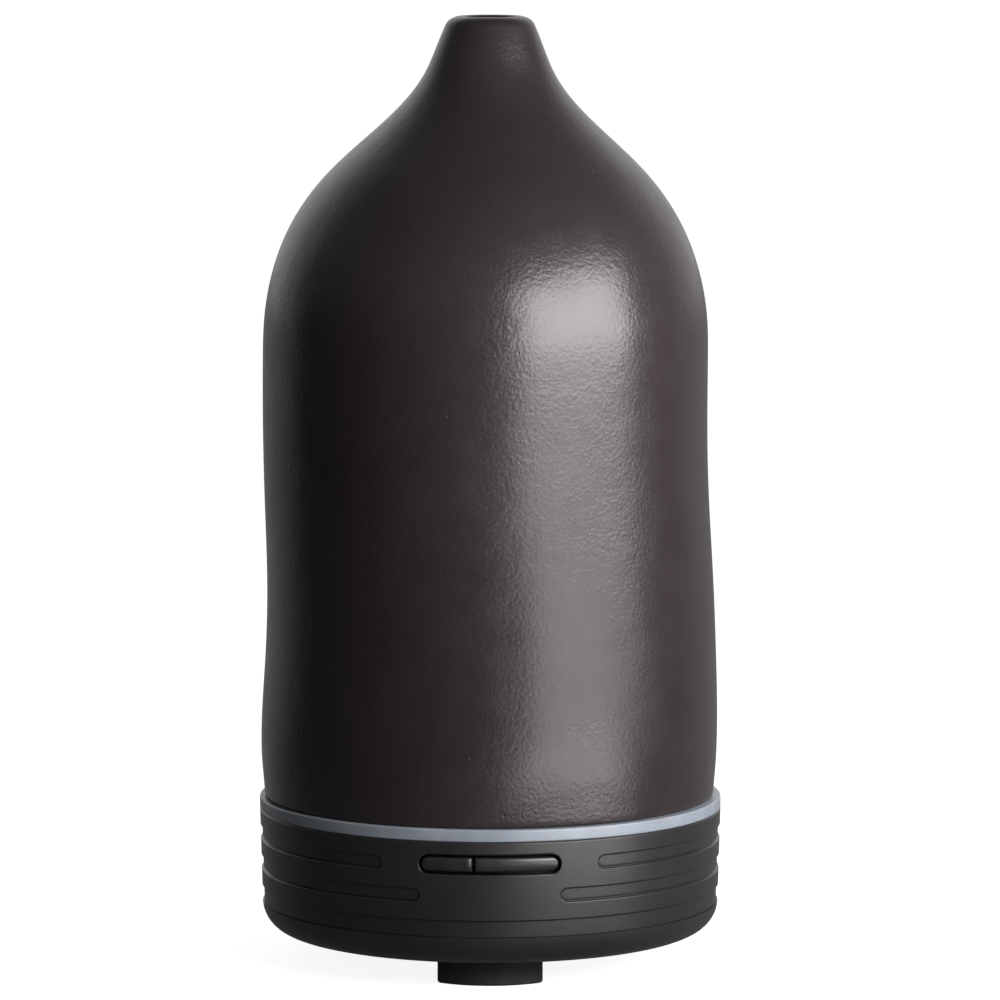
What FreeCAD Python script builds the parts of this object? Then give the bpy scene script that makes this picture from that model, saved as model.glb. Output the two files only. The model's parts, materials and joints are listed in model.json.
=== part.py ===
import FreeCAD, Part
import math
import os

# Ultrasonic essential oil diffuser: a round ceramic cover standing on a low electronics base.
# Millimetres. +Z is up, the front of the base (the two buttons) faces -Y, the mains-adapter
# socket faces +Y, and the origin is the centre of the footprint on the table.

# ---- driving dimensions -------------------------------------------------------------------
BASE_R = 45.0            # widest radius: top of the base shell and the light ring
BASE_FOOT_R = 44.5       # the base shell tapers to this radius at its lower edge
HEIGHT = 184.0           # table to the mouth of the ceramic cover
COVER_Z = 5.8            # underside of the bottom cover
FLOOR_Z = 7.8            # inner face of the bottom cover
PARTING_Z = 11.5         # joint between bottom cover and base shell
SHELL_TOP_Z = 30.0       # joint between base shell and light ring
DECK_Z = 32.3            # top of the light ring, where the ceramic cover stands
WALL_R = 42.6            # inner radius of the base shell
RIM_Z = 76.0             # rim of the water tank
TANK_R = 36.5            # outer radius of the water tank
TANK_IN_R = 34.5         # inner radius of the water tank
TANK_FLOOR_Z = 36.0      # upper face of the tank's floor
PLATE_Z = 34.0           # joint between the tank's floor and the deck under it
WELL_R = 14.5            # outer radius of the well over the disc
LID_TOP_Z = 166.0        # end of the mist tube on the inner lid
TUBE_R = 7.0             # outer radius of the mist tube and of the lid's neck
TUBE_IN_R = 5.4
NECK_Z = 121.5           # foot of the lid's neck
NECK_TOP_Z = 126.0
MOUTH_R = 4.6            # hole in the top of the ceramic cover

# Joint between the two halves of the base: four screws on a circle.
POST_R = 34.0
POST_ANGLES = (-125.0, -55.0, 65.0, 115.0)

# Three feet, one of them under the front.
FOOT_ANGLES = {"foot_front": -90.0, "foot_rear_right": 30.0, "foot_rear_left": 150.0}
FOOT_INNER_R = 24.0
FOOT_OUTER_R = 32.2
FOOT_WIDTH = 20.2
FOOT_FACE_R = 16.0       # curve of the foot's outer face
FOOT_RECESS = 0.5        # how far each foot sits in the bottom cover

# Recessed bands round the base: lower z, upper z, half angle left plain at the front.
BANDS = ((23.9, 26.8, 27.2), (18.0, 20.9, 17.4), (PARTING_Z, 14.9, 0.0))
BAND_DEPTH = 0.36

# Button slot in the front wall, a long hole with round ends, and the two buttons in it.
SLOT_HALF = 13.5
SLOT_HEIGHT = 3.8
SLOT_Z = 25.55
BUTTON_GAP = 0.45        # clearance between button and slot
BUTTON_SPLIT_X = -3.1    # where the short left button meets the long right one
SPLIT_GAP = 0.35
BUTTON_FACE_R = 44.55    # crown of the buttons, just behind the wall's surface
BUTTON_ROOT_R = 41.0     # inner face of the flange behind the wall
BUTTON_FLANGE_R = 42.2   # outer face of that flange
SWITCH_X = {"light": -8.0, "mist": 5.0}

# Vertical switch board behind the buttons.
SWITCH_BOARD_Y = -34.6   # its front face
BOARD_T = 1.6
SWITCH_DEPTH = 3.4       # body of a 6 mm tactile switch
SWITCH_SIDE = 6.0
PLUNGER_R = 1.75
PLUNGER_TIP_Y = -39.2

# Main board on the bottom cover.
BOARD_Z = 10.9           # its underside
BOARD_TOP_Z = BOARD_Z + BOARD_T
BOARD_R = 38.6
STANDOFFS = ((34.0, 3.0), (5.0, -24.0), (-24.0, 14.0))

# Fan, standing over the intake grille.
FAN_X = -14.0
FAN_Y = -8.0
FAN_SIDE = 25.0
FAN_Z = 9.2              # underside of its frame
FAN_TOP_Z = 17.2
FAN_BORE_R = 11.5
FAN_HOLE = 10.2          # screw holes, from the fan's axes
FAN_BLADES = 7

# Air channel inside the tank, fed by the duct from the fan.
CHANNEL_X = -28.4
CHANNEL_HALF_X = 3.6
CHANNEL_HALF_Y = 4.6
CHANNEL_WALL = 1.4
DUCT_WALL = 1.0
CHANNEL_TOP_Z = 70.0

# Adapter socket: 5.5 mm barrel plug with a 2.0 mm centre pin.
JACK_Z = 18.0
JACK_HALF_X = 4.5
JACK_HALF_Z = 5.5
JACK_BACK_Y = 29.6
JACK_BODY_Y = 41.8
JACK_MOUTH_Y = 43.6
JACK_COLLAR_R = 4.0
JACK_BORE_R = 3.2
JACK_PIN_R = 1.0
JACK_ROOT_R = 1.4        # the pin's part inside the moulding
JACK_PIN_TIP_Y = 42.6
JACK_BORE_END_Y = 34.1

# Ultrasonic disc in its silicone seal under the tank's well.
DISC_R = 10.0
DISC_Z = (29.1, 29.9)
SEAL_R = (7.8, 12.1)
SEAL_Z = (28.2, 30.5)
RETAINER_Z = 26.6
RETAINER_SCREW_R = 18.2
RETAINER_ANGLES = (30.0, 150.0, 270.0)

# Ring of lamps under the light ring, open at the front where the switches are.
LED_BOARD_Z = (27.5, 28.5)
LED_BOARD_R = (38.0, 41.2)
LED_START = -54.0
LED_SWEEP = 288.0
LED_CHIP_R = 39.9
LED_COUNT = 8

Z_AXIS = FreeCAD.Vector(0, 0, 1)
Y_AXIS = FreeCAD.Vector(0, 1, 0)
ORIGIN = FreeCAD.Vector(0, 0, 0)


# ---- small helpers ------------------------------------------------------------------------
def vec(x, y, z):
    return FreeCAD.Vector(x, y, z)


def polar(radius, degrees, z=0.0):
    angle = math.radians(degrees)
    return vec(radius * math.cos(angle), radius * math.sin(angle), z)


def box(x, y, z):
    """Block between the low and high values of each axis."""
    return Part.makeBox(x[1] - x[0], y[1] - y[0], z[1] - z[0], vec(x[0], y[0], z[0]))


def post(x, y, radius, z):
    """Vertical cylinder."""
    return Part.makeCylinder(radius, z[1] - z[0], vec(x, y, z[0]))


def bar(x, z, radius, y):
    """Cylinder along +Y."""
    return Part.makeCylinder(radius, y[1] - y[0], vec(x, y[0], z), Y_AXIS)


def ring(radii, z, start=0.0, sweep=360.0):
    """Flat ring, or a part of one, round the Z axis."""
    outer = Part.makeCylinder(radii[1], z[1] - z[0], vec(0, 0, z[0]), Z_AXIS, sweep)
    inner = Part.makeCylinder(radii[0], z[1] - z[0], vec(0, 0, z[0]))
    part = outer.cut(inner)
    part.rotate(ORIGIN, Z_AXIS, start)
    return part


def revolve(edges):
    """Solid of revolution round Z from edges in the XZ plane that close on themselves."""
    face = Part.Face(Part.Wire(edges))
    solid = face.revolve(ORIGIN, Z_AXIS, 360)
    if solid.Volume < 0:
        solid.reverse()
    return solid


def chain(points):
    """Straight edges through (radius, z) points."""
    corners = [vec(r, 0, z) for r, z in points]
    return [Part.makeLine(a, b) for a, b in zip(corners, corners[1:])]


def turned(points):
    """Solid of revolution from a closed outline of (radius, z) points."""
    return revolve(chain(list(points) + [points[0]]))


def arc(a, b, c):
    """Circular edge from a to c through b, all (radius, z)."""
    return Part.Arc(vec(a[0], 0, a[1]), vec(b[0], 0, b[1]), vec(c[0], 0, c[1])).toShape()


def smooth(points):
    """One smooth edge through (radius, z) points."""
    curve = Part.BSplineCurve()
    curve.interpolate([vec(r, 0, z) for r, z in points])
    return curve.toShape()


def turned_at(shape, degrees):
    """Copy of a shape, turned round the Z axis."""
    copy = shape.copy()
    copy.rotate(ORIGIN, Z_AXIS, degrees)
    return copy


def stadium(x, z_mid, height, y):
    """Prism along Y whose section is a long hole with round ends."""
    radius = height / 2
    ends = [bar(x[0] + radius, z_mid, radius, y), bar(x[1] - radius, z_mid, radius, y)]
    middle = box((x[0] + radius, x[1] - radius), y, (z_mid - radius, z_mid + radius))
    return middle.multiFuse(ends).removeSplitter()


def bend_points(before, corner, after):
    """Start, middle and end of the arc that rounds one corner of a wire's route."""
    back = before - corner
    ahead = after - corner
    reach = 0.45 * min(back.Length, ahead.Length)
    back.normalize()
    ahead.normalize()
    start = corner + back * reach
    end = corner + ahead * reach
    half = back.getAngle(ahead) / 2
    radius = reach * math.tan(half)
    inward = back + ahead
    inward.normalize()
    middle = corner + inward * (radius / math.sin(half) - radius)
    return start, middle, end


def lead(points, radius):
    """Insulated wire along straight runs joined by tangent arcs."""
    route = [vec(*p) for p in points]
    edges = []
    here = route[0]
    for before, corner, after in zip(route, route[1:], route[2:]):
        start, middle, end = bend_points(before, corner, after)
        edges.append(Part.makeLine(here, start))
        edges.append(Part.Arc(start, middle, end).toShape())
        here = end
    edges.append(Part.makeLine(here, route[-1]))
    section = Part.Wire(Part.makeCircle(radius, route[0], route[1] - route[0]))
    return Part.Wire(edges).makePipeShell([section], True, False)


def leads(points, offsets, radius=0.5):
    """Parallel wires, each the same route moved sideways by one offset."""
    wires = []
    for dx, dy in offsets:
        wires.append(lead([(x + dx, y + dy, z) for x, y, z in points], radius))
    return Part.makeCompound(wires)


# ---- outer pieces -------------------------------------------------------------------------
def ceramic_cover():
    """Slip-cast stoneware bottle with no bottom; it stands on the light ring."""
    outside = [
        (43.8, 33.0), (44.33, 42.0), (43.95, 60.0), (43.45, 80.0), (43.3, 100.0),
        (43.24, 118.0), (41.71, 133.0), (38.12, 143.0), (31.32, 153.0), (20.84, 163.0),
        (12.51, 173.0), (9.58, 180.0), (8.74, 182.0)]
    inside = [
        (MOUTH_R, 182.6), (6.0, 178.0), (9.2, 171.5), (17.6, 161.0), (27.8, 151.0),
        (34.6, 141.0), (38.3, 131.0), (39.8, 118.0), (39.9, 100.0), (40.0, 80.0),
        (40.5, 60.0), (40.9, 44.0), (40.2, DECK_Z)]
    lip = [(8.74, 182.0), (7.75, 183.3), (6.0, HEIGHT)]
    mouth = [(6.0, HEIGHT), (MOUTH_R + 0.5, HEIGHT), (MOUTH_R, HEIGHT - 0.6), inside[0]]
    foot = [(43.1, DECK_Z), (43.6, 32.5), (43.8, 33.0)]
    edges = [arc(*foot), smooth(outside), arc(*lip)]
    edges += chain(mouth)
    edges.append(smooth(inside))
    edges += chain([inside[-1], foot[0]])
    return revolve(edges)


def inner_lid():
    """Domed cap on the water tank; its neck holds the mist tube."""
    skirt_r = 38.4
    shoulder = [
        (37.2, 94.0), (34.6, 103.0), (26.0, 110.5), (14.0, 115.0), (8.4, 118.4),
        (TUBE_R, NECK_Z)]
    under = [
        (TUBE_IN_R, NECK_Z), (6.7, 117.4), (12.6, 113.2), (25.0, 108.8), (33.0, 101.8),
        (35.4, 94.0)]
    outer = [(36.9, 70.0), (skirt_r, 70.0), (skirt_r, 78.0), (37.2, 79.2), shoulder[0]]
    neck = [shoulder[-1], (TUBE_R, NECK_TOP_Z), (TUBE_IN_R, NECK_TOP_Z), under[0]]
    inner = [under[-1], (35.4, RIM_Z), (36.9, RIM_Z), outer[0]]
    edges = chain(outer) + [smooth(shoulder)] + chain(neck) + [smooth(under)] + chain(inner)
    return revolve(edges)


def mist_tube():
    """Tube that leads the mist up to the mouth; its collar is pushed over the lid's neck."""
    collar_r = TUBE_R + 1.2
    return turned([
        (TUBE_R, NECK_Z), (collar_r, NECK_Z), (collar_r, NECK_TOP_Z + 1.0),
        (TUBE_R, NECK_TOP_Z + 2.5), (TUBE_R, LID_TOP_Z), (TUBE_IN_R, LID_TOP_Z),
        (TUBE_IN_R, NECK_TOP_Z), (TUBE_R, NECK_TOP_Z)])


def tank_cup():
    """Cup with the well over the disc in the middle of its floor."""
    return turned([
        (8.0, SEAL_Z[1]), (12.2, SEAL_Z[1]), (12.2, SEAL_Z[0]), (WELL_R, SEAL_Z[0]),
        (WELL_R, PLATE_Z), (TANK_R, PLATE_Z), (TANK_R, RIM_Z - 0.4), (TANK_R - 0.4, RIM_Z),
        (TANK_IN_R + 0.4, RIM_Z), (TANK_IN_R, RIM_Z - 0.4), (TANK_IN_R, 40.0), (33.3, 37.2),
        (30.5, TANK_FLOOR_Z), (16.0, TANK_FLOOR_Z), (12.5, 32.5), (8.0, 32.5)])


def water_tank():
    """Water tank with its air channel and a fill line inside the wall."""
    outer_x = CHANNEL_HALF_X + CHANNEL_WALL
    outer_y = CHANNEL_HALF_Y + CHANNEL_WALL
    channel = box((CHANNEL_X - outer_x, CHANNEL_X + outer_x), (-outer_y, outer_y),
                  (PLATE_Z, CHANNEL_TOP_Z))
    passage = box((CHANNEL_X - CHANNEL_HALF_X, CHANNEL_X + CHANNEL_HALF_X),
                  (-CHANNEL_HALF_Y, CHANNEL_HALF_Y), (PLATE_Z - 1, CHANNEL_TOP_Z + 1))
    fill_line = ring((TANK_IN_R - 0.4, TANK_IN_R + 0.3), (63.0, 63.7), -120.0, 60.0)
    return tank_cup().multiFuse([channel, fill_line]).cut(passage).removeSplitter()


def tank_deck():
    """Plate under the tank: lip for the ceramic cover, screw posts and retainer bosses."""
    gasket_top = 31.4
    lip = (38.8, 39.4, 39.8)
    deck = turned([
        (WELL_R, PLATE_Z - 1.8), (TANK_IN_R, PLATE_Z - 1.8), (TANK_IN_R, SHELL_TOP_Z),
        (39.0, SHELL_TOP_Z), (39.0, gasket_top), (41.0, gasket_top), (41.0, DECK_Z),
        (lip[2], DECK_Z), (lip[2], 34.2), (lip[1], 34.6), (lip[0], 34.6), (lip[0], DECK_Z),
        (TANK_R, DECK_Z), (TANK_R, PLATE_Z), (WELL_R, PLATE_Z)])
    neck_x = CHANNEL_HALF_X + DUCT_WALL + 0.2
    neck_y = CHANNEL_HALF_Y + DUCT_WALL + 0.2
    solids = []
    holes = [box((CHANNEL_X - neck_x, CHANNEL_X + neck_x), (-neck_y, neck_y), (25, 40))]
    for angle in POST_ANGLES:
        place = polar(POST_R, angle)
        solids.append(post(place.x, place.y, 3.2, (12.0, DECK_Z)))
        holes.append(post(place.x, place.y, 1.3, (11.0, 24.0)))
    for angle in RETAINER_ANGLES:
        place = polar(RETAINER_SCREW_R, angle)
        solids.append(post(place.x, place.y, 2.4, (SEAL_Z[0], PLATE_Z)))
        holes.append(post(place.x, place.y, 0.95, (27.0, 32.4)))
    return deck.multiFuse(solids).cut(Part.makeCompound(holes)).removeSplitter()


def light_ring():
    """Translucent ring between base and ceramic cover, clamped by the tank's deck."""
    return turned([
        (39.2, SHELL_TOP_Z), (41.6, SHELL_TOP_Z), (41.6, 29.0), (42.5, 29.0),
        (42.5, SHELL_TOP_Z), (BASE_R - 0.25, SHELL_TOP_Z), (BASE_R, SHELL_TOP_Z + 0.25),
        (BASE_R, DECK_Z - 0.25), (BASE_R - 0.25, DECK_Z), (41.2, DECK_Z), (41.2, 31.0),
        (39.2, 31.0)])


def shell_radius(z):
    """Outer radius of the tapered base shell at a height."""
    share = (z - PARTING_Z) / (SHELL_TOP_Z - PARTING_Z)
    return BASE_FOOT_R + (BASE_R - BASE_FOOT_R) * share


def band_cutter(low, high, half_angle):
    """Ring that cuts one recessed band; it stops in a round end each side of the front."""
    middle = (low + high) / 2
    radii = (shell_radius(middle) - BAND_DEPTH, BASE_R + 2)
    if half_angle == 0:
        return ring(radii, (low - 1, high))
    centre_angle = half_angle + math.degrees((high - low) / 2 / BASE_R)
    cutter = ring(radii, (low, high), centre_angle - 90, 360 - 2 * centre_angle)
    for side in (-1, 1):
        direction = polar(1, -90 + side * centre_angle)
        end = Part.makeCylinder((high - low) / 2, 10, direction * 38 + vec(0, 0, middle),
                                direction)
        cutter = cutter.fuse(end.common(ring(radii, (low - 1, high + 1))))
    return cutter


def switch_rail(side):
    """Grooved block inside the wall that holds one edge of the switch board."""
    x = sorted((side * 15.2, side * 18.4))
    groove_x = sorted((side * 15.0, side * 16.8))
    block = box(x, (-41.0, -31.6), (16.0, 28.8))
    groove = box(groove_x, (SWITCH_BOARD_Y - 0.05, SWITCH_BOARD_Y + BOARD_T + 0.05),
                 (16.9, 29.5))
    return block.cut(groove)


def base_shell():
    """Side wall of the base with its bands, button slot, lamp shelf and socket hole."""
    shell = turned([
        (WALL_R, PARTING_Z), (BASE_FOOT_R, PARTING_Z), (BASE_R, SHELL_TOP_Z),
        (WALL_R, SHELL_TOP_Z)])
    shelf = ring((38.6, WALL_R + 0.5), (26.4, LED_BOARD_Z[0]), LED_START, LED_SWEEP)
    shell = shell.multiFuse([shelf, switch_rail(-1), switch_rail(1)])
    cutters = [band_cutter(*band) for band in BANDS]
    cutters.append(stadium((-SLOT_HALF, SLOT_HALF), SLOT_Z, SLOT_HEIGHT, (-50, -38)))
    cutters.append(bar(0, JACK_Z, JACK_COLLAR_R + 0.2, (40, 50)))
    for cutter in cutters:
        shell = shell.cut(cutter)
    return shell.removeSplitter()


def foot_blank(grow=0.0):
    """Rubber foot under the front, or the slightly larger space that it sits in."""
    z = (0.0, COVER_Z + FOOT_RECESS)
    front = post(0, FOOT_FACE_R - FOOT_OUTER_R, FOOT_FACE_R + grow, z)
    half = FOOT_WIDTH / 2 + grow
    blank = front.common(box((-half, half), (-40, -15), z))
    blank = blank.cut(post(0, 0, FOOT_INNER_R - grow, (-1, 10)))
    corners = [e for e in blank.Edges if abs(e.tangentAt(e.FirstParameter).z) > 0.99]
    return blank.makeFillet(1.6 + grow, corners)


def foot(angle):
    """One foot, with the edge that meets the table eased."""
    blank = foot_blank()
    low = [e for e in blank.Edges if e.BoundBox.ZMax < 0.01]
    return turned_at(blank.makeFillet(0.5, low), angle + 90)


def grille_slots():
    """Intake slots in the bottom cover, under the fan."""
    slots = []
    pitch = 3.3
    for index in range(-3, 4):
        offset = pitch * index
        reach = math.sqrt(10.8 ** 2 - offset ** 2)
        slots.append(box((FAN_X + offset - 0.8, FAN_X + offset + 0.8),
                         (FAN_Y - reach, FAN_Y + reach), (COVER_Z - 1, FLOOR_Z + 1)))
    return slots


def bottom_cover():
    """Pan that closes the base from below; it carries the board, the fan and the feet."""
    outline = [arc((38.2, COVER_Z), (42.7, 7.5), (BASE_FOOT_R, PARTING_Z))]
    outline += chain([
        (BASE_FOOT_R, PARTING_Z), (42.5, PARTING_Z), (42.5, 13.5), (41.4, 13.5), (41.4, 11.3)])
    outline.append(arc((41.4, 11.3), (40.4, 8.9), (37.4, FLOOR_Z)))
    outline += chain([(37.4, FLOOR_Z), (0, FLOOR_Z), (0, COVER_Z), (38.2, COVER_Z)])
    cover = revolve(outline)
    solids = []
    holes = grille_slots()
    for angle in POST_ANGLES:
        place = polar(POST_R, angle)
        solids.append(post(place.x, place.y, 4.6, (FLOOR_Z - 0.5, 12.0)))
        holes.append(post(place.x, place.y, 1.7, (0, 20)))
        holes.append(post(place.x, place.y, 3.2, (0, 8.6)))
    for x, y in STANDOFFS:
        solids.append(post(x, y, 2.6, (FLOOR_Z - 0.5, BOARD_Z)))
        holes.append(post(x, y, 1.0, (6.8, 20)))
    for x, y in fan_corners():
        holes.append(post(x, y, 1.15, (6.3, 20)))
    for angle in FOOT_ANGLES.values():
        holes.append(turned_at(foot_blank(0.1), angle + 90))
    holes.append(box((-5.2, 5.2), (37, 46), (PARTING_Z, 20)))
    cover = cover.multiFuse(solids)
    for hole in holes:
        cover = cover.cut(hole)
    return cover.removeSplitter()


# ---- buttons and switches -----------------------------------------------------------------
def button(x, switch_x):
    """One button: crowned face in the slot, a flange behind the wall and a boss."""
    half = SLOT_HEIGHT / 2 - BUTTON_GAP
    low = SLOT_Z - half
    high = SLOT_Z + half
    crown = BUTTON_FACE_R
    cap = revolve(chain([(crown - 0.55, high), (BUTTON_ROOT_R, high), (BUTTON_ROOT_R, low),
                         (crown - 0.55, low)])
                  + [arc((crown - 0.55, low), (crown, SLOT_Z), (crown - 0.55, high))])
    left_end, right_end = x
    cutter = stadium(x, SLOT_Z, 2 * half, (-50, -38))
    split = SPLIT_GAP / 2
    if right_end < 0:
        flat = BUTTON_SPLIT_X - split
        square = box((flat - 2 * half, flat), (-50, -38), (low, high))
    else:
        flat = BUTTON_SPLIT_X + split
        square = box((flat, flat + 2 * half), (-50, -38), (low, high))
    cap = cap.common(cutter.fuse(square))
    flange_x = (max(left_end - 1.4, -14.6), right_end) if right_end < 0 else (
        left_end, right_end + 1.4)
    flange = ring((BUTTON_ROOT_R, BUTTON_FLANGE_R), (low - 1.4, high + 1.4))
    flange = flange.common(box(flange_x, (-50, -30), (0, 40)))
    boss = bar(switch_x, SLOT_Z, 1.5, (PLUNGER_TIP_Y - 3.0, PLUNGER_TIP_Y))
    boss = boss.common(Part.makeCylinder(BUTTON_FLANGE_R, 40))
    return cap.multiFuse([flange, boss]).removeSplitter()


def light_button():
    return button((-SLOT_HALF + BUTTON_GAP, BUTTON_SPLIT_X - SPLIT_GAP / 2), SWITCH_X["light"])


def mist_button():
    return button((BUTTON_SPLIT_X + SPLIT_GAP / 2, SLOT_HALF - BUTTON_GAP), SWITCH_X["mist"])


def switch_body(x):
    """Tactile switch with the bore that its plunger slides in."""
    half = SWITCH_SIDE / 2
    front = SWITCH_BOARD_Y - SWITCH_DEPTH
    body = box((x - half, x + half), (front, SWITCH_BOARD_Y), (SLOT_Z - half, SLOT_Z + half))
    return body.cut(bar(x, SLOT_Z, PLUNGER_R + 0.06, (front - 1, front + 2.0)))


def switch_plunger(x):
    """Stem of a tactile switch, pushed by the boss of its button."""
    return bar(x, SLOT_Z, PLUNGER_R, (PLUNGER_TIP_Y, PLUNGER_TIP_Y + 2.2))


def switch_board():
    return box((-16.6, 16.6), (SWITCH_BOARD_Y, SWITCH_BOARD_Y + BOARD_T), (17.0, 28.7))


# ---- main board ---------------------------------------------------------------------------
def main_board():
    """L-shaped board that leaves room for the fan and the screw posts."""
    board = post(0, 0, BOARD_R, (BOARD_Z, BOARD_TOP_Z))
    board = board.cut(box((-50, -0.5), (-50, 6), (0, 30)))
    board = board.cut(box((-50, 50), (-50, -31), (0, 30)))
    for angle in POST_ANGLES:
        place = polar(POST_R, angle)
        board = board.cut(post(place.x, place.y, 5.4, (0, 30)))
    for x, y in STANDOFFS:
        board = board.cut(post(x, y, 1.2, (0, 30)))
    return board


def on_board(x, y, size_x, size_y, height):
    """Block-shaped component standing on the main board."""
    return box((x - size_x / 2, x + size_x / 2), (y - size_y / 2, y + size_y / 2),
               (BOARD_TOP_Z, BOARD_TOP_Z + height))


def board_inductor():
    """Drum inductor: a waisted ferrite core."""
    drum = post(22.0, -9.0, 4.5, (BOARD_TOP_Z, BOARD_TOP_Z + 9.0))
    waist = post(22.0, -9.0, 5.0, (BOARD_TOP_Z + 1.5, BOARD_TOP_Z + 7.5))
    core = post(22.0, -9.0, 3.9, (BOARD_TOP_Z + 1.5, BOARD_TOP_Z + 7.5))
    return drum.cut(waist.cut(core))


def board_capacitors():
    """Electrolytic capacitors: x, y, radius, height."""
    cans = ((31.0, -13.0, 3.2, 11.0), (25.0, 16.0, 3.2, 11.0), (16.0, 13.0, 2.6, 8.0),
            (-10.0, 16.0, 2.6, 8.0))
    solids = []
    for x, y, radius, height in cans:
        can = post(x, y, radius, (BOARD_TOP_Z, BOARD_TOP_Z + height))
        top = [e for e in can.Edges if e.BoundBox.ZMin > BOARD_TOP_Z + height - 0.01]
        solids.append(can.makeFillet(0.4, top))
    return Part.makeCompound(solids)


def board_chips():
    """Driver, controller, transistor and regulator."""
    chips = ((11.0, -9.0, 5.0, 4.0, 1.6), (13.0, 2.0, 9.0, 4.0, 1.6), (27.0, 3.0, 6.0, 5.0, 2.2),
             (-18.0, 22.0, 5.0, 4.0, 1.6))
    return Part.makeCompound([on_board(*chip) for chip in chips])


CONNECTORS = {"fan": (6.5, -15.0), "piezo": (5.0, 11.0), "lamps": (33.5, 9.0),
              "switches": (10.0, -25.0)}
CONNECTOR_TOP_Z = BOARD_TOP_Z + 5.5


def board_connectors():
    """Wire-to-board connectors for the four sets of leads."""
    blocks = [on_board(x, y, 5.0, 4.0, 5.5) for x, y in CONNECTORS.values()]
    return Part.makeCompound(blocks)


def board_screws():
    """Screws that hold the main board to its standoffs."""
    screws = []
    for x, y in STANDOFFS:
        head = post(x, y, 2.0, (BOARD_TOP_Z, BOARD_TOP_Z + 1.4))
        screws.append(head.fuse(post(x, y, 0.95, (7.2, BOARD_TOP_Z))).removeSplitter())
    return Part.makeCompound(screws)


def dc_jack():
    """Socket on the main board; its collar fills the round hole in the rear wall."""
    body = box((-JACK_HALF_X, JACK_HALF_X), (JACK_BACK_Y, JACK_BODY_Y),
               (JACK_Z - JACK_HALF_Z, JACK_Z + JACK_HALF_Z))
    collar = bar(0, JACK_Z, JACK_COLLAR_R, (JACK_BODY_Y - 1, JACK_MOUTH_Y))
    bore = bar(0, JACK_Z, JACK_BORE_R, (JACK_BORE_END_Y, JACK_MOUTH_Y + 1))
    pin_hole = bar(0, JACK_Z, JACK_ROOT_R, (JACK_BORE_END_Y - 2, JACK_BORE_END_Y + 1))
    return body.fuse(collar).cut(bore).cut(pin_hole).removeSplitter()


def dc_jack_pin():
    """Centre contact of the socket, with an eased tip and a thicker root in the socket."""
    pin = bar(0, JACK_Z, JACK_PIN_R, (JACK_BORE_END_Y, JACK_PIN_TIP_Y))
    tip = [e for e in pin.Edges if e.BoundBox.YMin > JACK_PIN_TIP_Y - 0.01]
    root = bar(0, JACK_Z, JACK_ROOT_R, (JACK_BORE_END_Y - 2, JACK_BORE_END_Y))
    return pin.makeFillet(0.4, tip).fuse(root)


# ---- fan and air path ---------------------------------------------------------------------
def fan_corners():
    return [(FAN_X + sx * FAN_HOLE, FAN_Y + sy * FAN_HOLE) for sx in (-1, 1) for sy in (-1, 1)]


def fan_square(side, z):
    return box((FAN_X - side / 2, FAN_X + side / 2), (FAN_Y - side / 2, FAN_Y + side / 2), z)


def fan_gasket():
    """Foam frame that seals the fan to the bottom cover."""
    gasket = fan_square(FAN_SIDE, (FLOOR_Z, FAN_Z))
    gasket = gasket.cut(post(FAN_X, FAN_Y, FAN_BORE_R, (0, 20)))
    for x, y in fan_corners():
        gasket = gasket.cut(post(x, y, 1.4, (0, 20)))
    return gasket


def fan_frame():
    """Square fan housing with three struts, the motor's base and its shaft."""
    frame = fan_square(FAN_SIDE, (FAN_Z, FAN_TOP_Z))
    frame = frame.cut(post(FAN_X, FAN_Y, FAN_BORE_R, (0, 30)))
    for x, y in fan_corners():
        frame = frame.cut(post(x, y, 1.4, (0, 30)))
        frame = frame.cut(post(x, y, 2.1, (14.6, 30)))
    struts = []
    for index in range(3):
        strut = box((0, FAN_BORE_R + 0.3), (-0.8, 0.8), (FAN_Z, FAN_Z + 1.0))
        strut = turned_at(strut, 120 * index + 20)
        strut.translate(vec(FAN_X, FAN_Y, 0))
        struts.append(strut)
    hub = post(FAN_X, FAN_Y, 5.0, (FAN_Z, FAN_Z + 1.0))
    shaft = post(FAN_X, FAN_Y, 1.0, (FAN_Z, 15.2))
    return frame.multiFuse(struts + [hub, shaft]).removeSplitter()


def fan_rotor():
    """Hub with seven pitched blades, running on the frame's shaft."""
    hub = post(0, 0, 5.0, (10.7, 16.4))
    hub = hub.makeFillet(0.6, [e for e in hub.Edges if e.BoundBox.ZMin > 16.3])
    blades = []
    for index in range(FAN_BLADES):
        blade = box((4.4, 10.9), (-3.4, 3.4), (13.2, 14.0))
        blade.rotate(vec(0, 0, 13.6), vec(1, 0, 0), 38)
        blades.append(turned_at(blade, 360.0 * index / FAN_BLADES))
    rotor = hub.multiFuse(blades)
    rotor = rotor.common(post(0, 0, 10.8, (10.7, 16.4)))
    rotor = rotor.cut(post(0, 0, 1.05, (10.0, 15.4)))
    rotor.translate(vec(FAN_X, FAN_Y, 0))
    return rotor.removeSplitter()


def fan_screws():
    """Screws through the fan's corners into the bottom cover."""
    screws = []
    for x, y in fan_corners():
        head = post(x, y, 1.9, (14.6, 15.8))
        screws.append(head.fuse(post(x, y, 1.1, (6.4, 14.6))).removeSplitter())
    return Part.makeCompound(screws)


def duct_section(x, y, half_x, half_y, z):
    corners = [vec(x - half_x, y - half_y, z), vec(x + half_x, y - half_y, z),
               vec(x + half_x, y + half_y, z), vec(x - half_x, y + half_y, z)]
    return Part.makePolygon(corners + corners[:1])


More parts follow.
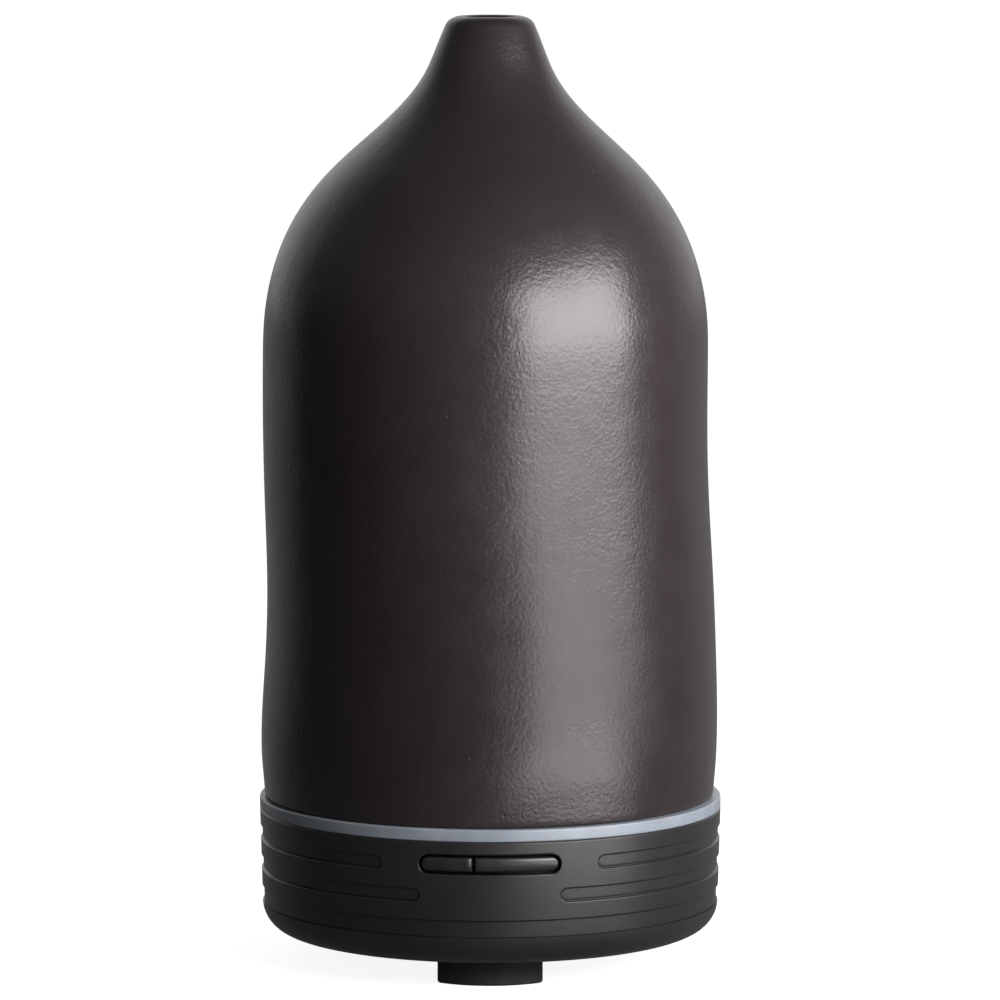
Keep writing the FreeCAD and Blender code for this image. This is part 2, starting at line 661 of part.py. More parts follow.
def duct_body(wall, z_low):
    """Tapering passage from the fan to the tank's air channel, wall added all round."""
    bend_z = 31.0
    fan_half = 10.5 + wall
    top = (CHANNEL_HALF_X + wall, CHANNEL_HALF_Y + wall)
    lower = duct_section(FAN_X, FAN_Y, fan_half, fan_half, z_low)
    upper = duct_section(CHANNEL_X, 0, top[0], top[1], bend_z)
    taper = Part.makeLoft([lower, upper], True, True)
    neck = box((CHANNEL_X - top[0], CHANNEL_X + top[0]), (-top[1], top[1]), (bend_z, 34.0))
    return taper.fuse(neck)


def air_duct():
    """Duct on top of the fan."""
    flange_top = 18.4
    flange = fan_square(FAN_SIDE, (FAN_TOP_Z, flange_top))
    flange = flange.cut(post(FAN_X, FAN_Y, FAN_BORE_R - 0.5, (0, 30)))
    shell = duct_body(DUCT_WALL, flange_top).cut(duct_body(0.0, flange_top))
    return flange.fuse(shell).removeSplitter()


# ---- ultrasonic disc ----------------------------------------------------------------------
def piezo_disc():
    return post(0, 0, DISC_R, DISC_Z)


def piezo_seal():
    """Silicone ring with a groove for the disc."""
    return ring(SEAL_R, SEAL_Z).cut(post(0, 0, DISC_R, DISC_Z))


def piezo_retainer():
    """Ring with three ears that presses the seal up against the tank."""
    part = ring((8.0, 14.4), (RETAINER_Z, SEAL_Z[0]))
    ears = []
    for angle in RETAINER_ANGLES:
        arm = box((12.0, RETAINER_SCREW_R), (-2.6, 2.6), (RETAINER_Z, SEAL_Z[0]))
        ear = arm.fuse(post(RETAINER_SCREW_R, 0, 2.6, (RETAINER_Z, SEAL_Z[0])))
        ears.append(turned_at(ear.cut(post(RETAINER_SCREW_R, 0, 1.1, (0, 40))), angle))
    return part.multiFuse(ears).removeSplitter()


def piezo_screws():
    screws = []
    for angle in RETAINER_ANGLES:
        place = polar(RETAINER_SCREW_R, angle)
        head = post(place.x, place.y, 1.9, (RETAINER_Z - 1.2, RETAINER_Z))
        shank = post(place.x, place.y, 0.9, (RETAINER_Z, 32.0))
        screws.append(head.fuse(shank).removeSplitter())
    return Part.makeCompound(screws)


# ---- lamps, gasket, long screws -----------------------------------------------------------
def led_board():
    """Flexible-looking narrow ring board with a tab for its leads."""
    board = ring(LED_BOARD_R, LED_BOARD_Z, LED_START, LED_SWEEP)
    return board.fuse(box((34.0, 38.6), (7.0, 11.0), LED_BOARD_Z)).removeSplitter()


def led_chips():
    chips = []
    step = (LED_SWEEP - 8.0) / (LED_COUNT - 1)
    for index in range(LED_COUNT):
        chip = box((LED_CHIP_R - 1.0, LED_CHIP_R + 1.0), (-1.4, 1.4),
                   (LED_BOARD_Z[1], LED_BOARD_Z[1] + 0.8))
        chips.append(turned_at(chip, LED_START + 4.0 + step * index))
    return Part.makeCompound(chips)


def deck_gasket():
    """Flat silicone ring between the light ring's lip and the tank's deck."""
    return ring((39.4, 40.9), (31.0, 31.4))


def cover_screws():
    """Long screws from below, through the bottom cover into the tank's posts."""
    screws = []
    for angle in POST_ANGLES:
        place = polar(POST_R, angle)
        head = post(place.x, place.y, 2.9, (6.8, 8.6))
        slot = box((place.x - 2.2, place.x + 2.2), (place.y - 0.35, place.y + 0.35), (6.0, 7.6))
        cross = box((place.x - 0.35, place.x + 0.35), (place.y - 2.2, place.y + 2.2), (6.0, 7.6))
        head = head.cut(slot).cut(cross)
        shank = post(place.x, place.y, 1.25, (8.6, 23.0))
        screws.append(head.fuse(shank).removeSplitter())
    return Part.makeCompound(screws)


# ---- wiring -------------------------------------------------------------------------------
def fan_wires():
    x, y = CONNECTORS["fan"]
    side = FAN_X + FAN_SIDE / 2
    route = [(side, y, 14.8), (side + 3.0, y, 14.8), (side + 3.0, y, 21.0), (x, y, 21.0),
             (x, y, CONNECTOR_TOP_Z)]
    return leads(route, ((0, -0.7), (0, 0.7)))


def piezo_wires():
    x, y = CONNECTORS["piezo"]
    route = [(x, y, CONNECTOR_TOP_Z), (x, y, 21.5), (x, 3.0, 23.6), (x, 3.0, DISC_Z[0])]
    return leads(route, ((-0.7, 0), (0.7, 0)))


def led_wires():
    x, y = CONNECTORS["lamps"]
    route = [(x, y, CONNECTOR_TOP_Z), (x, y, 21.0), (x + 2.0, y, 23.5),
             (x + 2.0, y, LED_BOARD_Z[0])]
    return leads(route, ((0, -0.7), (0, 0.7)))


def switch_wires():
    x, y = CONNECTORS["switches"]
    back = SWITCH_BOARD_Y + BOARD_T
    route = [(x, back, 20.5), (x, back + 2.6, 20.5), (x, -27.5, 23.5), (x, y, 22.0),
             (x, y, CONNECTOR_TOP_Z)]
    return leads(route, ((-1.4, 0), (0, 0), (1.4, 0)))


# ---- the assembly -------------------------------------------------------------------------
PARTS = {
    "ceramic_cover": ceramic_cover,
    "inner_lid": inner_lid,
    "mist_tube": mist_tube,
    "water_tank": water_tank,
    "tank_deck": tank_deck,
    "light_ring": light_ring,
    "deck_gasket": deck_gasket,
    "base_shell": base_shell,
    "bottom_cover": bottom_cover,
    "light_button": light_button,
    "mist_button": mist_button,
    "switch_board": switch_board,
    "main_board": main_board,
    "board_inductor": board_inductor,
    "board_capacitors": board_capacitors,
    "board_chips": board_chips,
    "board_connectors": board_connectors,
    "board_screws": board_screws,
    "dc_jack": dc_jack,
    "dc_jack_pin": dc_jack_pin,
    "fan_gasket": fan_gasket,
    "fan_frame": fan_frame,
    "fan_rotor": fan_rotor,
    "fan_screws": fan_screws,
    "air_duct": air_duct,
    "piezo_disc": piezo_disc,
    "piezo_seal": piezo_seal,
    "piezo_retainer": piezo_retainer,
    "piezo_screws": piezo_screws,
    "led_board": led_board,
    "led_chips": led_chips,
    "cover_screws": cover_screws,
    "fan_wires": fan_wires,
    "piezo_wires": piezo_wires,
    "led_wires": led_wires,
    "switch_wires": switch_wires,
}


def build_parts():
    """All sub-parts by name, the repeated ones included."""
    shapes = {name: make() for name, make in PARTS.items()}
    for name, angle in FOOT_ANGLES.items():
        shapes[name] = foot(angle)
    for name, x in SWITCH_X.items():
        shapes[name + "_switch"] = switch_body(x)
        shapes[name + "_switch_plunger"] = switch_plunger(x)
    return shapes


os.makedirs("parts", exist_ok=True)
for node, shape in build_parts().items():
    shape.exportStep("parts/" + node + ".step")
    print(node, "valid", shape.isValid(), "solids", len(shape.Solids), round(shape.Volume, 1))
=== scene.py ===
import json
import math

import bpy
import numpy as np
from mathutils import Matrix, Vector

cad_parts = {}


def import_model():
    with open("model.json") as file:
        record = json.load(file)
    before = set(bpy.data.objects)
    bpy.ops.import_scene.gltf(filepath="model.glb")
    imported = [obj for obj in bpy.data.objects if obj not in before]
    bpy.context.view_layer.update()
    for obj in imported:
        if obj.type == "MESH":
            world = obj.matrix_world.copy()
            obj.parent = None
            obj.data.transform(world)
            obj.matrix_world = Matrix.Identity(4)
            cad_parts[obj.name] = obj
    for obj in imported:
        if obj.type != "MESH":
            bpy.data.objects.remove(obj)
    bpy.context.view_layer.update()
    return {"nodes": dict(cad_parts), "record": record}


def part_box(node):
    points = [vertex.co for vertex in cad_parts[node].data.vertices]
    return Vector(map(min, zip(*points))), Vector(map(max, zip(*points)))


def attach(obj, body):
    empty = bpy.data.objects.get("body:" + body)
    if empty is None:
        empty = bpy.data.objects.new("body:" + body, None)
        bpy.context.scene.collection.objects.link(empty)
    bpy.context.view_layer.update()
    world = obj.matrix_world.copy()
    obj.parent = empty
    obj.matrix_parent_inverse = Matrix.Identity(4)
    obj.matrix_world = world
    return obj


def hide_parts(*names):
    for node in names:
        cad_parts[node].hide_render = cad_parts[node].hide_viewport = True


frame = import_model()
NODES = frame["nodes"]
MM = 0.001


# ---- sizes taken from the frame --------------------------------------------------------
def top_of(node):
    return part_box(node)[1].z / MM


def bottom_of(node):
    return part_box(node)[0].z / MM


DECK_Z = bottom_of("ceramic_cover")     # the ceramic cover stands at this height
HEIGHT = top_of("ceramic_cover")
SHELL_LOW = bottom_of("base_shell")
SHELL_TOP = top_of("base_shell")
RING_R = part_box("light_ring")[1].x / MM
SHELL_LOW_R = 44.5                      # the shell tapers from the ring's radius to this one
WALL_R = 42.6                           # inner face of the shell's wall


# ---- mesh helpers ----------------------------------------------------------------------
def add_mesh(name, points, faces, material):
    """New smooth-shaded object from points in millimetres."""
    mesh = bpy.data.meshes.new(name)
    mesh.from_pydata((np.asarray(points, float) * MM).tolist(), [], [list(f) for f in faces])
    mesh.validate()
    mesh.update()
    mesh.shade_smooth()
    obj = bpy.data.objects.new(name, mesh)
    bpy.context.scene.collection.objects.link(obj)
    mesh.materials.append(material)
    return obj


def wrap_faces(rows, columns, closed_rows=False):
    """Quads between successive rings of points; each ring closes on itself, and with
    closed_rows the last ring joins the first."""
    faces = []
    last = rows if closed_rows else rows - 1
    for i in range(last):
        for j in range(columns):
            k = (j + 1) % columns
            n = (i + 1) % rows
            faces.append((i * columns + j, i * columns + k, n * columns + k, n * columns + j))
    return faces


def loft(name, loops, material):
    """Skin over equal-length loops, with the two ends filled."""
    count = len(loops[0])
    start = (len(loops) - 1) * count
    faces = wrap_faces(len(loops), count)
    faces.append(tuple(reversed(range(count))))
    faces.append(tuple(range(start, start + count)))
    return add_mesh(name, np.concatenate(loops), faces, material)


def cubic(knots, values, at):
    """Natural cubic spline through (knots, values)."""
    x = np.asarray(knots, float)
    y = np.asarray(values, float)
    n = len(x)
    h = np.diff(x)
    system = np.zeros((n, n))
    right = np.zeros(n)
    system[0, 0] = system[-1, -1] = 1
    for i in range(1, n - 1):
        system[i, i - 1:i + 2] = h[i - 1], 2 * (h[i - 1] + h[i]), h[i]
        right[i] = 6 * ((y[i + 1] - y[i]) / h[i] - (y[i] - y[i - 1]) / h[i - 1])
    second = np.linalg.solve(system, right)
    at = np.asarray(at, float)
    i = np.clip(np.searchsorted(x, at) - 1, 0, n - 2)
    t = at - x[i]
    slope = (y[i + 1] - y[i]) / h[i] - h[i] * (2 * second[i] + second[i + 1]) / 6
    bend = (second[i + 1] - second[i]) / (6 * h[i])
    return y[i] + slope * t + second[i] / 2 * t ** 2 + bend * t ** 3


def smooth_line(points, step):
    """Smooth curve through (r, z) points, sampled about every step millimetres."""
    points = np.asarray(points, float)
    along = np.concatenate([[0], np.cumsum(np.hypot(*np.diff(points, axis=0).T))])
    at = np.linspace(0, along[-1], max(2, int(along[-1] / step)))
    return np.column_stack([cubic(along, points[:, 0], at), cubic(along, points[:, 1], at)])


def corner_arc(start, corner, end, count=6):
    """Points of a rounded corner, as a quadratic curve."""
    t = np.linspace(0, 1, count)[:, None]
    a, b, c = (np.asarray(p, float) for p in (start, corner, end))
    return (1 - t) ** 2 * a + 2 * t * (1 - t) * b + t ** 2 * c


def eased(value, low, high):
    """Smooth step from 0 at low to 1 at high."""
    t = np.clip((np.asarray(value, float) - low) / (high - low), 0, 1)
    return t * t * (3 - 2 * t)


# ---- materials -------------------------------------------------------------------------
DRIFT = (0.35, 0.65)      # part of a noise's range that colour drift is spread over
WEAR = (0.3, 0.7)         # and the part for roughness and fine grain


class Nodes:
    """Shorthand for building one material's node tree."""

    def __init__(self, name):
        self.material = bpy.data.materials.new(name)
        self.material.use_nodes = True
        self.tree = self.material.node_tree
        self.shader = self.tree.nodes["Principled BSDF"]
        self.place = self.add("ShaderNodeTexCoord").outputs["Object"]

    def add(self, kind, **settings):
        node = self.tree.nodes.new(kind)
        for key, value in settings.items():
            setattr(node, key, value)
        return node

    def link(self, source, target):
        self.tree.links.new(source, target)

    def noise(self, size_mm, detail=3.0, roughness=0.5):
        """Noise whose features are about size_mm across."""
        node = self.add("ShaderNodeTexNoise")
        node.inputs["Scale"].default_value = 1000.0 / size_mm
        node.inputs["Detail"].default_value = detail
        node.inputs["Roughness"].default_value = roughness
        self.link(self.place, node.inputs["Vector"])
        return node.outputs["Fac"]

    def spread(self, source, low, high, to_low=0.0, to_high=1.0):
        """Source mapped from low..high to to_low..to_high, held at the ends."""
        node = self.add("ShaderNodeMapRange")
        for name, value in (("From Min", low), ("From Max", high), ("To Min", to_low),
                            ("To Max", to_high)):
            node.inputs[name].default_value = value
        self.link(source, node.inputs["Value"])
        return node.outputs["Result"]

    def mix(self, factor, colour_a, colour_b):
        node = self.add("ShaderNodeMix", data_type="RGBA")
        for socket, value in ((node.inputs[0], factor), (node.inputs[6], colour_a),
                              (node.inputs[7], colour_b)):
            if isinstance(value, (tuple, list)):
                socket.default_value = (*value, 1.0)
            elif isinstance(value, float):
                socket.default_value = value
            else:
                self.link(value, socket)
        return node.outputs[2]

    def combine(self, operation, a, b):
        node = self.add("ShaderNodeMath", operation=operation)
        for socket, value in ((node.inputs[0], a), (node.inputs[1], b)):
            if isinstance(value, (int, float)):
                socket.default_value = value
            else:
                self.link(value, socket)
        return node.outputs[0]

    def bump(self, height, depth_mm, strength=1.0):
        """Relief depth_mm deep, added on top of any earlier relief."""
        node = self.add("ShaderNodeBump")
        node.inputs["Strength"].default_value = strength
        node.inputs["Distance"].default_value = depth_mm * MM
        self.link(height, node.inputs["Height"])
        if self.shader.inputs["Normal"].links:
            self.link(self.shader.inputs["Normal"].links[0].from_socket, node.inputs["Normal"])
        self.link(node.outputs["Normal"], self.shader.inputs["Normal"])

    def colour(self, source):
        self.link(source, self.shader.inputs["Base Color"])

    def roughness(self, source):
        self.link(source, self.shader.inputs["Roughness"])

    def set(self, **values):
        for key, value in values.items():
            self.shader.inputs[key.replace("_", " ")].default_value = value


def glaze():
    """Dark semi-matt glaze with orange peel, pinholes and slight colour drift."""
    pit_spacing_mm = 7.0
    m = Nodes("glazed_stoneware")
    drift = m.spread(m.noise(22, 3), *DRIFT)
    grain = m.spread(m.noise(0.8, 4, 0.6), *WEAR)
    base = m.mix(drift, (0.0152, 0.0114, 0.0122), (0.0178, 0.0137, 0.0145))
    m.colour(m.mix(m.combine("MULTIPLY", grain, 0.22), base, (0.026, 0.0195, 0.0207)))
    m.roughness(m.spread(m.noise(5.5, 3, 0.5), *WEAR, 0.27, 0.32))
    m.set(IOR=1.5, Specular_Tint=(1.0, 0.94, 0.955, 1.0))
    m.bump(m.noise(7.0, 2), 0.20, 0.5)
    m.bump(m.noise(0.72, 2), 0.062)
    pits = m.add("ShaderNodeTexVoronoi")
    pits.inputs["Scale"].default_value = 1000.0 / pit_spacing_mm
    pits.inputs["Randomness"].default_value = 1.0
    m.link(m.place, pits.inputs["Vector"])
    m.bump(m.spread(pits.outputs["Distance"], 0.03, 0.055), 0.05)
    return m.material


def bisque():
    """Unglazed clay of the edge that the cover stands on."""
    m = Nodes("bisque")
    m.colour(m.mix(m.noise(3, 4), (0.16, 0.105, 0.08), (0.24, 0.17, 0.13)))
    m.roughness(m.spread(m.noise(1.5, 4), *WEAR, 0.75, 0.95))
    m.bump(m.noise(0.6, 4), 0.06)
    return m.material


def plastic(name, dark, light, rough, grain_mm, depth_mm, streak_mm):
    """Moulded plastic with spark-eroded grain and handling marks."""
    m = Nodes(name)
    drift = m.spread(m.noise(streak_mm, 4), *DRIFT)
    m.colour(m.mix(drift, dark, light))
    worn = m.spread(m.noise(streak_mm / 2, 5, 0.65), *WEAR, rough[0], rough[1])
    m.roughness(worn)
    m.bump(m.noise(grain_mm, 2), depth_mm)
    return m.material


def black_shell():
    """Black shell plastic: fine matt grain and a little dust."""
    m = Nodes("base_plastic")
    drift = m.spread(m.noise(24, 4), *DRIFT)
    body = m.mix(drift, (0.0112, 0.0100, 0.0112), (0.0150, 0.0136, 0.0150))
    dust = m.spread(m.noise(0.9, 6, 0.8), 0.70, 0.78)
    m.colour(m.mix(m.combine("MULTIPLY", dust, 0.35), body, (0.08, 0.08, 0.085)))
    m.roughness(m.spread(m.noise(9, 5, 0.6), *WEAR, 0.31, 0.38))
    m.bump(m.noise(0.30, 2), 0.010)
    return m.material


def light_guide():
    """Milky cool-grey light guide."""
    m = Nodes("light_guide")
    cloud = m.spread(m.noise(6, 3), *DRIFT)
    m.colour(m.mix(cloud, (0.178, 0.198, 0.230), (0.205, 0.226, 0.258)))
    m.roughness(m.spread(m.noise(3, 4), *WEAR, 0.30, 0.40))
    m.set(Subsurface_Weight=0.25, Subsurface_Scale=0.002, IOR=1.49)
    m.bump(m.noise(0.5, 3), 0.006)
    return m.material


def rubber(name, dark, light):
    """Matt rubber, foam or silicone."""
    m = Nodes(name)
    m.colour(m.mix(m.spread(m.noise(4, 4), *DRIFT), dark, light))
    m.roughness(m.spread(m.noise(2, 4), *WEAR, 0.68, 0.82))
    m.bump(m.noise(0.35, 3), 0.02)
    return m.material


def metal(name, tint, rough):
    """Metal with a fine grain."""
    m = Nodes(name)
    lighter = tuple(min(1.0, c * 1.15) for c in tint)
    m.colour(m.mix(m.noise(2.5, 4), tint, lighter))
    m.roughness(m.spread(m.noise(1.2, 4), *WEAR, rough[0], rough[1]))
    m.set(Metallic=1.0)
    m.bump(m.noise(0.4, 2), 0.006)
    return m.material


def frosted(name, tint, rough, milk=0.35):
    """Translucent moulded plastic, milky rather than clear."""
    m = Nodes(name)
    cloud = m.spread(m.noise(14, 4), *DRIFT)
    darker = tuple(c * 0.95 for c in tint)
    m.colour(m.mix(cloud, darker, tint))
    m.roughness(m.spread(m.noise(6, 4), *WEAR, rough[0], rough[1]))
    m.set(Subsurface_Weight=milk, Subsurface_Scale=0.003, IOR=1.49)
    m.bump(m.noise(0.6, 3), 0.01)
    return m.material


def circuit_board(name, mask, trace):
    """Solder mask with faint tracks under it."""
    m = Nodes(name)
    tracks = m.add("ShaderNodeTexBrick")
    tracks.inputs["Scale"].default_value = 260.0
    tracks.inputs["Mortar Size"].default_value = 0.06
    m.link(m.place, tracks.inputs["Vector"])
    line = m.spread(tracks.outputs["Fac"], 0.2, 0.8)
    m.colour(m.mix(line, mask, trace))
    m.roughness(m.spread(m.noise(3, 3), *WEAR, 0.28, 0.42))
    m.bump(line, 0.02)
    return m.material


def wire_skin(name, tint):
    """Soft plastic insulation of a wire."""
    m = Nodes(name)
    lighter = tuple(min(1.0, c * 1.25 + 0.01) for c in tint)
    m.colour(m.mix(m.noise(1.5, 4), tint, lighter))
    m.roughness(m.spread(m.noise(1.0, 3), *WEAR, 0.38, 0.52))
    m.bump(m.noise(0.3, 2), 0.008)
    return m.material


MATERIALS = {
    "glazed_stoneware": glaze(),
    "lid_plastic": frosted("lid_plastic", (0.20, 0.205, 0.21), (0.42, 0.52)),
    "tank_plastic": frosted("tank_plastic", (0.24, 0.245, 0.25), (0.30, 0.42), 0.2),
    "light_guide": light_guide(),
    "base_plastic": black_shell(),
    "button_plastic": plastic(
        "button_plastic", (0.011, 0.011, 0.012), (0.015, 0.015, 0.016), (0.26, 0.34), 0.5,
        0.006, 6.0),
    "foot_rubber": rubber("foot_rubber", (0.013, 0.013, 0.013), (0.022, 0.022, 0.022)),
    "silicone": rubber("silicone", (0.66, 0.66, 0.64), (0.74, 0.74, 0.72)),
    "foam_gasket": rubber("foam_gasket", (0.03, 0.03, 0.03), (0.06, 0.06, 0.06)),
    "circuit_board": circuit_board("circuit_board", (0.012, 0.10, 0.035), (0.03, 0.19, 0.07)),
    "lamp_board": circuit_board("lamp_board", (0.78, 0.79, 0.76), (0.70, 0.71, 0.68)),
    "component_black": plastic(
        "component_black", (0.018, 0.018, 0.018), (0.028, 0.028, 0.028), (0.5, 0.62), 0.2,
        0.01, 4.0),
    "ferrite": plastic(
        "ferrite", (0.04, 0.04, 0.045), (0.07, 0.07, 0.075), (0.6, 0.75), 0.4, 0.02, 3.0),
    "capacitor_can": metal("capacitor_can", (0.62, 0.63, 0.65), (0.22, 0.34)),
    "connector_nylon": plastic(
        "connector_nylon", (0.72, 0.69, 0.58), (0.80, 0.77, 0.66), (0.4, 0.5), 0.3, 0.01, 3.0),
    "screw_steel": metal("screw_steel", (0.55, 0.55, 0.56), (0.25, 0.4)),
    "contact_metal": metal("contact_metal", (0.78, 0.72, 0.58), (0.18, 0.3)),
    "disc_metal": metal("disc_metal", (0.66, 0.66, 0.64), (0.2, 0.3)),
    "retainer_plastic": plastic(
        "retainer_plastic", (0.66, 0.67, 0.66), (0.72, 0.73, 0.72), (0.4, 0.5), 0.3, 0.01, 6.0),
    "fan_plastic": plastic(
        "fan_plastic", (0.017, 0.017, 0.018), (0.026, 0.026, 0.027), (0.38, 0.5), 0.3, 0.01,
        6.0),
    "lamp_chip": plastic(
        "lamp_chip", (0.85, 0.72, 0.30), (0.92, 0.84, 0.50), (0.3, 0.4), 0.3, 0.01, 1.5),
    "wire_red": wire_skin("wire_red", (0.40, 0.02, 0.02)),
    "wire_white": wire_skin("wire_white", (0.70, 0.70, 0.68)),
}
BISQUE = bisque()


# ---- ceramic cover ---------------------------------------------------------------------
# Both walls are smooth curves through (r, z) points: the outside from its foot up to the
# lip, the inside from the mouth down. LEAN_X is how far the wall's centre sits to the right
# at the heights LEAN_Z, and LEAN_SHARE_Y how much of that it also sits to the back.
COVER_OUTSIDE = [
    (43.8, 33.0), (44.33, 42.0), (43.95, 60.0), (43.45, 80.0), (43.3, 100.0), (43.24, 118.0),
    (42.91, 126.0), (41.71, 133.0), (38.12, 143.0), (31.32, 153.0), (20.84, 163.0),
    (12.51, 173.0), (9.58, 180.0), (8.74, 182.0)]
COVER_INSIDE = [
    (4.6, 182.6), (6.0, 178.0), (9.2, 171.5), (17.6, 161.0), (27.8, 151.0), (34.6, 141.0),
    (38.3, 131.0), (39.8, 118.0), (39.9, 100.0), (40.0, 80.0), (40.5, 60.0), (40.9, 44.0),
    (40.3, 33.0)]
LEAN_Z = (32.0, 45.0, 58.0, 74.0, 90.0, 105.0, 125.0, 150.0, 170.0, 184.0)
LEAN_X = (-0.25, -0.1, 0.15, 0.0, -0.72, -1.05, -0.85, -0.62, -0.17, 0.0)
LEAN_SHARE_Y = 0.3
COVER_COLUMNS = 360
BARE_Z = DECK_Z + 0.03    # below this and inside BARE_R the clay is unglazed
BARE_R = 42.7


def cover_profile():
    """(r, z) from the outer foot edge up, over the lip and down the inside."""
    foot = corner_arc((42.9, DECK_Z + 0.02), (43.72, DECK_Z + 0.02), (43.8, 33.0))
    outside = smooth_line(COVER_OUTSIDE, 0.9)
    lip = corner_arc(COVER_OUTSIDE[-1], (8.2, 183.6), (6.1, HEIGHT - 0.02), 9)
    mouth = corner_arc((6.1, HEIGHT - 0.02), (4.75, HEIGHT), COVER_INSIDE[0], 9)
    inside = smooth_line(COVER_INSIDE, 1.6)
    heel = corner_arc(COVER_INSIDE[-1], (40.35, DECK_Z + 0.02), (41.0, DECK_Z + 0.02), 5)
    return np.concatenate([foot, outside[1:], lip[1:], mouth[1:], inside[1:], heel[1:]])


def hand_thrown(r, z, angle):
    """Shallow unevenness of a slip-cast wall, in millimetres of radius, none at the mouth."""
    slow = 0.16 * np.sin(2 * angle + 0.045 * z + 0.6) + 0.10 * np.sin(3 * angle - 0.07 * z + 2.1)
    fine = 0.03 * np.sin(5 * angle + 0.11 * z) + 0.015 * np.sin(9 * angle - 0.12 * z + 1.0)
    return (slow + fine) * np.clip((r - 6.0) / 34.0, 0, 1)


def ceramic_cover():
    profile = cover_profile()
    angle = np.linspace(0, 2 * math.pi, COVER_COLUMNS, endpoint=False)
    r, z = profile[:, :1], profile[:, 1:]
    grow = hand_thrown(r, z, angle[None, :]) * eased(z, DECK_Z + 1, DECK_Z + 9)
    radius = r + grow
    lean = cubic(LEAN_Z, LEAN_X, np.clip(z, LEAN_Z[0], LEAN_Z[-1]))
    x = radius * np.cos(angle) + lean
    y = radius * np.sin(angle) + LEAN_SHARE_Y * lean
    points = np.stack([x, y, np.broadcast_to(z, x.shape)], axis=2).reshape(-1, 3)
    faces = wrap_faces(len(profile), COVER_COLUMNS, closed_rows=True)
    obj = add_mesh("cover_stoneware", points, faces, MATERIALS["glazed_stoneware"])
    obj.data.materials.append(BISQUE)
    for polygon in obj.data.polygons:
        if polygon.center.z < BARE_Z * MM and polygon.center.xy.length < BARE_R * MM:
            polygon.material_index = 1
    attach(obj, "cover")
    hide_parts("ceramic_cover")


# ---- base shell ------------------------------------------------------------------------
# Recessed bands round the wall: lower and upper edge, and the half angle at the front where
# the band is interrupted, 0 for none.
BANDS = ((23.9, 26.8, 27.2), (18.0, 20.9, 17.4), (SHELL_LOW - 2, 14.9, 0.0))
BAND_DEPTH = 0.36
BAND_EASE_HIGH = 0.22     # width of the rounding at a band's upper edge
BAND_EASE_LOW = 0.26      # and at its lower edge
GROOVE_DEPTH = 0.24       # fine groove just inside each band's lower edge
GROOVE_INSET = 0.30
GROOVE_WIDTH = 0.10
SLOT_HALF = 13.5
SLOT_RADIUS = 1.9
SLOT_Z = 25.55
SOCKET_Z = 18.0
SOCKET_R = 4.2
EDGE_R = 0.16             # rounding of the edges of the slot and the socket hole
HOLE_REACH = 1.2          # mesh points this far inside a hole are moved to its edge


def wall_radius(z):
    """Tapered outer wall before the bands are cut."""
    share = (z - SHELL_LOW) / (SHELL_TOP - SHELL_LOW)
    return SHELL_LOW_R + (RING_R - SHELL_LOW_R) * share


def band_depth(bearing, z):
    """How deep the recessed bands are at a bearing from the front (radians) and a height."""
    depth = np.zeros(np.broadcast(bearing, z).shape)
    for low, high, half_angle in BANDS:
        half = (high - low) / 2
        middle = (high + low) / 2
        along = np.abs(bearing) * RING_R
        centre = math.radians(half_angle) * RING_R + half if half_angle else -1.0
        reach = half - np.hypot(np.maximum(centre - along, 0), z - middle)
        width = np.where(z > middle, BAND_EASE_HIGH, BAND_EASE_LOW)
        groove = GROOVE_DEPTH * np.exp(-((reach - GROOVE_INSET) / GROOVE_WIDTH) ** 2)
        groove = groove * eased(middle - z, 0.1, 0.7)
        depth = np.maximum(depth, BAND_DEPTH * eased(reach, 0, width) + groove)
    return depth


def shell_radius(bearing, z):
    """Outer surface of the base shell, its edges eased."""
    top_ease = 0.25 * eased(z, SHELL_TOP - 0.3, SHELL_TOP)
    low_ease = 0.10 * (1 - eased(z, SHELL_LOW, SHELL_LOW + 0.15))
    return wall_radius(z) - band_depth(bearing, z) - top_ease - low_ease


def slot_distance(x, z):
    """Distance outside the button slot, negative inside, and the way to its edge."""
    core_x = np.clip(x, -(SLOT_HALF - SLOT_RADIUS), SLOT_HALF - SLOT_RADIUS)
    dx, dz = x - core_x, z - SLOT_Z
    far = np.hypot(dx, dz)
    return far - SLOT_RADIUS, dx / np.maximum(far, 1e-9), dz / np.maximum(far, 1e-9)


def socket_distance(x, z):
    """The same for the round socket hole at the back."""
    dz = z - SOCKET_Z
    far = np.hypot(x, dz)
    return far - SOCKET_R, x / np.maximum(far, 1e-9), dz / np.maximum(far, 1e-9)


def spaced(low, high, step):
    """Evenly spaced values from low to high, about step apart."""
    return np.linspace(low, high, max(2, int(round((high - low) / step)) + 1))


def shell_rows():
    """Heights of the shell's rings of points: close together at every edge."""
    rows = [spaced(SHELL_LOW, SHELL_LOW + 0.3, 0.06), spaced(SHELL_TOP - 0.35, SHELL_TOP, 0.07)]
    for low, high, _ in BANDS:
        rows.append(spaced(high - 0.24, high + 0.02, 0.065))
        rows.append(spaced(max(low - 0.02, SHELL_LOW), low + 0.40, 0.07))
    rows.append(spaced(SHELL_LOW, SHELL_TOP, 0.22))
    rows = np.unique(np.round(np.concatenate(rows), 3))
    keep = [rows[0]]
    for z in rows[1:]:
        if z - keep[-1] > 0.045:
            keep.append(z)
    keep[-1] = SHELL_TOP
    return np.array(keep)


